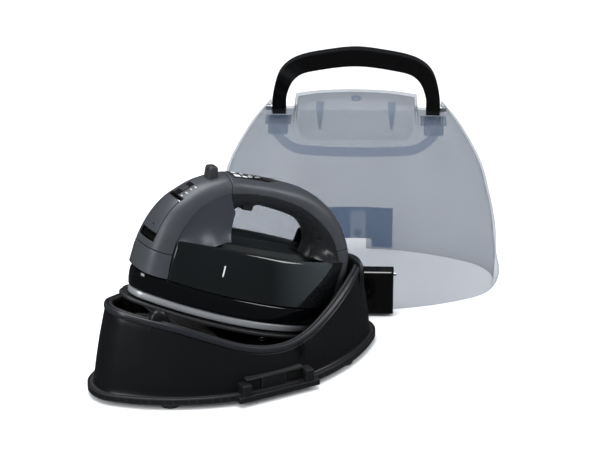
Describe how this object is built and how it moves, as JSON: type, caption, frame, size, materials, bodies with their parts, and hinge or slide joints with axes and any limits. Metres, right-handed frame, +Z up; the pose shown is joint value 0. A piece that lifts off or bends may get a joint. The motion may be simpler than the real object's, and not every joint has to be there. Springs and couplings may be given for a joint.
{
  "type": "cordless steam iron set",
  "caption": "Cordless steam iron parked nose-up on a saddle-rimmed heating base, with a translucent domed carrying case and folding handle.",
  "frame": {"origin": "middle of the whole set's footprint, on the floor", "axes": "+Z up; +X along the base from the iron's nose to its heel; the case stands towards +X and +Y"},
  "size_m": [0.496, 0.319, 0.254],
  "materials": {
    "base_black": "semi-gloss",
    "black_matte": "fine matte",
    "rubber": "matte",
    "steel": "brushed",
    "brass": "satin",
    "aluminium": "cast",
    "pale_plate": "fine matte",
    "cord": "matte",
    "skirt_gloss": "high gloss",
    "grey_satin": "satin",
    "grip_black": "satin",
    "panel_blue_grey": "satin",
    "display": "mirror gloss",
    "tank_smoke": "clear smoke",
    "board_green": "lacquer",
    "case_clear": "translucent",
    "case_blue": "translucent",
    "handle_gloss": "high gloss"
  },
  "bodies": {
    "base": {"base_floor": "black_matte", "base_screws": "steel", "base_shell": "base_black", "latch_posts": "base_black", "rubber_feet": "rubber", "well_liner": "base_black", "tray_pedestals": "black_matte", "tray_pin": "steel", "tray_springs": "steel", "terminal_tower": "black_matte", "terminal_block": "pale_plate", "heat_shield": "pale_plate", "reel_shaft": "black_matte", "spring_drum": "steel", "mains_plug": "cord", "cord_tail": "cord"},
    "tray": {"rest_tray": "black_matte"},
    "reel": {"cord_reel": "black_matte", "wound_cord": "cord"},
    "rewind_key": {"rewind_button": "grip_black"},
    "contacts": {"contact_pins": "brass"},
    "iron": {"soleplate": "steel", "heater_casting": "aluminium", "heating_element": "steel", "steam_chamber_cover": "steel", "thermostat": "brass", "thermal_fuse": "steel", "skirt": "skirt_gloss", "chassis_plate": "black_matte", "handle_shell": "grey_satin", "grip_lower": "grip_black", "heel_cover": "grey_satin", "receiver_contacts": "brass", "display_panel": "display", "control_board": "board_green", "pump_cylinder": "pale_plate", "casting_screws": "steel"},
    "temp_key": {"temp_button": "grip_black"},
    "trigger": {"steam_trigger": "grip_black"},
    "pump": {"pump_piston": "black_matte"},
    "cassette": {"water_tank": "tank_smoke", "tank_cover": "grip_black", "tank_seal": "rubber", "nose_shell": "grey_satin", "side_panels": "panel_blue_grey", "nose_lower": "grey_satin", "lid_pin": "steel"},
    "lid": {"fill_lid": "grey_satin"},
    "knob": {"steam_knob": "handle_gloss"},
    "valve": {"valve_rod": "steel"},
    "selector": {"steam_selector": "handle_gloss"},
    "case": {"case_shell": "case_clear", "handle_sockets": "case_blue", "pivot_pins": "steel", "latch_pin": "steel", "latch_housing": "case_clear", "latch_spring": "steel", "far_hook": "case_blue"},
    "bail": {"carry_handle": "handle_gloss"},
    "latch": {"case_latch": "base_black"}
  },
  "joints": [
    {"name": "iron_lift_off", "type": "slide", "parent": "base", "child": "iron", "axis": [-0.9336, 0, 0.3584], "range_m": [0, 0.26]},
    {"name": "tank_withdraw", "type": "slide", "parent": "iron", "child": "cassette", "axis": [-0.9336, 0, 0.3584], "range_m": [0, 0.17]},
    {"name": "fill_lid_hinge", "type": "hinge", "parent": "cassette", "child": "lid", "pos_m": [-0.15797, -0.07148, 0.18427], "axis": [0, 1, 0], "range_deg": [0, 80]},
    {"name": "steam_knob_turn", "type": "hinge", "parent": "cassette", "child": "knob", "pos_m": [-0.12336, -0.07148, 0.1938], "axis": [-0.1045, 0, 0.9945], "range_deg": [0, 90]},
    {"name": "valve_rod_lift", "type": "slide", "parent": "cassette", "child": "valve", "axis": [-0.1045, 0, 0.9945], "range_m": [0, 0.003]},
    {"name": "selector_slide", "type": "slide", "parent": "cassette", "child": "selector", "axis": [0.9205, 0, 0.3907], "range_m": [-0.005, 0.005]},
    {"name": "temp_button_press", "type": "slide", "parent": "iron", "child": "temp_key", "axis": [-0.3584, 0, -0.9336], "range_m": [0, 0.0012]},
    {"name": "trigger_squeeze", "type": "slide", "parent": "iron", "child": "trigger", "axis": [0.3584, 0, 0.9336], "range_m": [0, 0.003]},
    {"name": "pump_stroke", "type": "slide", "parent": "iron", "child": "pump", "axis": [0.9336, 0, -0.3584], "range_m": [0, 0.006]},
    {"name": "rest_tray_hinge", "type": "hinge", "parent": "base", "child": "tray", "pos_m": [-0.19203, -0.07148, 0.0844], "axis": [0, 1, 0], "range_deg": [0, 0.8], "deforming": ["tray_springs"]},
    {"name": "reel_spin", "type": "hinge", "parent": "base", "child": "reel", "pos_m": [-0.15503, -0.07148, 0.02], "axis": [0, 0, 1], "continuous": true},
    {"name": "rewind_button_press", "type": "slide", "parent": "base", "child": "rewind_key", "axis": [0, -1, 0], "range_m": [0, 0.003]},
    {"name": "contact_pins_press", "type": "slide", "parent": "base", "child": "contacts", "axis": [0.9336, 0, -0.3584], "range_m": [0, 0.003]},
    {"name": "case_lift_off", "type": "slide", "parent": "base", "child": "case", "axis": [0, 0, 1], "range_m": [0, 0.25]},
    {"name": "carry_handle_fold", "type": "hinge", "parent": "case", "child": "bail", "pos_m": [0.10797, 0.05252, 0.19], "axis": [0.8572, -0.515, 0], "range_deg": [0, 83]},
    {"name": "case_latch_swing", "type": "hinge", "parent": "case", "child": "latch", "pos_m": [0.0629, -0.02248, 0.042], "axis": [-0.8572, 0.515, 0], "range_deg": [0, 9]}
  ],
  "couplings": [
    {"joint": "valve_rod_lift", "follows": "steam_knob_turn", "m_per_rad": 0.0019},
    {"joint": "pump_stroke", "follows": "trigger_squeeze", "ratio": 2}
  ]
}
